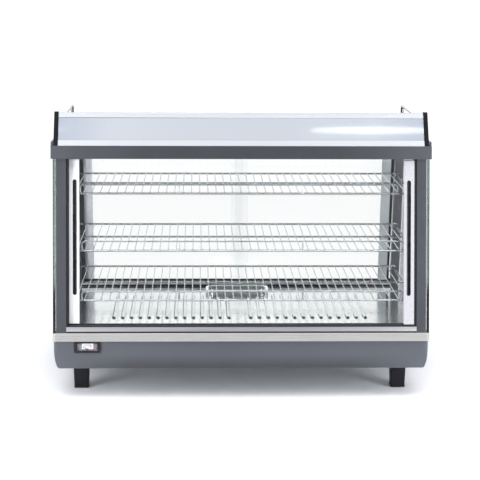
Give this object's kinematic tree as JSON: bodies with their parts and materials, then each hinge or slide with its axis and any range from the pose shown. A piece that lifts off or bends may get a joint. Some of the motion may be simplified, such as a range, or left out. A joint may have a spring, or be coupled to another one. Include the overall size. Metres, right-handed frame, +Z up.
{
  "type": "heated display counter",
  "caption": "Countertop heated food display: sloping glass case with sliding doors front and rear, lift-out wire shelves, water pan, louvred floor, lit sign canopy and rear controls.",
  "frame": {"origin": "bottom centre of the outer box, on the surface that the feet stand on, midway between front and rear extremes", "axes": "+X to the right seen from the customer's side, +Y from the front towards the rear controls, +Z up"},
  "size_m": [0.9, 0.584, 0.6775],
  "materials": {
    "grey_paint": "satin dark grey paint",
    "galvanised_sheet": "plain zinc-coated sheet",
    "bright_trim": "satin brushed along its length",
    "polished_steel": "polished stainless steel",
    "element_sheath": "heat-tinted dull steel",
    "white_ceramic": "matt",
    "black_plastic": "fine moulded texture",
    "black_gloss": "gloss",
    "black_rubber": "matt",
    "dial_white": "printed scale",
    "pointer_red": "satin",
    "clear_window": "clear",
    "zinc_screws": "zinc plated",
    "lamp_white": "opal",
    "opal_panel": "glossy opal acrylic",
    "white_profile": "gloss white",
    "dark_end": "satin gloss moulding",
    "chrome": "bright plated wire",
    "clear_glass": "clear toughened glass with green edges",
    "track_aluminium": "satin anodised",
    "white_aluminium": "bright anodised"
  },
  "bodies": {
    "cabinet": {"base_bottom_pan": "grey_paint", "base_front_panel": "grey_paint", "base_rear_panel": "grey_paint", "base_side_panels": "grey_paint", "bottom_cover": "galvanised_sheet", "bottom_tracks": "track_aluminium", "cabinet_lamp": "lamp_white", "cable_gland": "black_plastic", "canopy_back": "white_profile", "canopy_bottom_strip": "white_profile", "canopy_end_left": "dark_end", "canopy_end_right": "dark_end", "canopy_lamp": "lamp_white", "canopy_panel": "opal_panel", "control_plate": "black_plastic", "door_seals": "black_rubber", "feet": "black_plastic", "floor_louvre_plate": "polished_steel", "floor_pan_plate": "polished_steel", "foot_screws": "zinc_screws", "front_left_post": "grey_paint", "front_right_post": "grey_paint", "guard_rails": "chrome", "heating_elements": "element_sheath", "inner_ceiling": "polished_steel", "rear_left_post": "grey_paint", "rear_right_post": "grey_paint", "shelf_support_rails": "chrome", "side_glasses": "clear_glass", "switch_bodies": "black_plastic", "terminal_block": "white_ceramic", "thermometer_case": "black_gloss", "thermometer_dial": "dial_white", "thermometer_window": "clear_window", "thermostat": "galvanised_sheet", "top_deck": "grey_paint", "top_frame": "grey_paint", "top_side_caps": "grey_paint", "top_tracks": "track_aluminium", "track_liners": "black_plastic", "trim_band": "bright_trim"},
    "front_left_door": {"front_left_door_glass": "clear_glass", "front_left_door_stile": "white_aluminium"},
    "front_right_door": {"front_right_door_glass": "clear_glass", "front_right_door_stile": "white_aluminium"},
    "rear_left_door": {"rear_left_door_glass": "clear_glass", "rear_left_door_stile": "white_aluminium"},
    "rear_right_door": {"rear_right_door_glass": "clear_glass", "rear_right_door_stile": "white_aluminium"},
    "top_shelf": {"top_shelf_grid": "chrome", "top_shelf_guard": "chrome"},
    "middle_shelf": {"middle_shelf_grid": "chrome", "middle_shelf_guard": "chrome"},
    "bottom_shelf": {"bottom_shelf_grid": "chrome", "bottom_shelf_guard": "chrome"},
    "water_pan": {"water_pan": "polished_steel"},
    "thermostat_knob": {"thermostat_knob": "black_plastic"},
    "heat_switch": {"heat_switch_rocker": "black_gloss"},
    "light_switch": {"light_switch_rocker": "black_gloss"},
    "thermometer_pointer": {"thermometer_pointer": "pointer_red"}
  },
  "joints": [
    {"name": "front_left_door_slide", "type": "slide", "parent": "cabinet", "child": "front_left_door", "axis": [1, 0, 0], "range_m": [0, 0.385]},
    {"name": "front_right_door_slide", "type": "slide", "parent": "cabinet", "child": "front_right_door", "axis": [1, 0, 0], "range_m": [-0.385, 0]},
    {"name": "rear_left_door_slide", "type": "slide", "parent": "cabinet", "child": "rear_left_door", "axis": [1, 0, 0], "range_m": [0, 0.385]},
    {"name": "rear_right_door_slide", "type": "slide", "parent": "cabinet", "child": "rear_right_door", "axis": [1, 0, 0], "range_m": [-0.385, 0]},
    {"name": "top_shelf_lift", "type": "slide", "parent": "cabinet", "child": "top_shelf", "axis": [0, 0, 1], "range_m": [0, 0.02]},
    {"name": "middle_shelf_lift", "type": "slide", "parent": "cabinet", "child": "middle_shelf", "axis": [0, 0, 1], "range_m": [0, 0.02]},
    {"name": "bottom_shelf_lift", "type": "slide", "parent": "cabinet", "child": "bottom_shelf", "axis": [0, 0, 1], "range_m": [0, 0.02]},
    {"name": "water_pan_lift", "type": "slide", "parent": "cabinet", "child": "water_pan", "axis": [0, 0, 1], "range_m": [0, 0.03]},
    {"name": "thermostat_knob_turn", "type": "hinge", "parent": "cabinet", "child": "thermostat_knob", "pos_m": [-0.33, 0.275, 0.108], "axis": [0, -1, 0], "range_deg": [0, 300]},
    {"name": "heat_switch_rock", "type": "hinge", "parent": "cabinet", "child": "heat_switch", "pos_m": [-0.262, 0.269, 0.108], "axis": [1, 0, 0], "range_deg": [0, 18]},
    {"name": "light_switch_rock", "type": "hinge", "parent": "cabinet", "child": "light_switch", "pos_m": [-0.212, 0.269, 0.108], "axis": [1, 0, 0], "range_deg": [0, 18]},
    {"name": "thermometer_pointer_sweep", "type": "hinge", "parent": "cabinet", "child": "thermometer_pointer", "pos_m": [-0.365, -0.287, 0.1252], "axis": [0, 1, 0], "range_deg": [0, 120]}
  ]
}
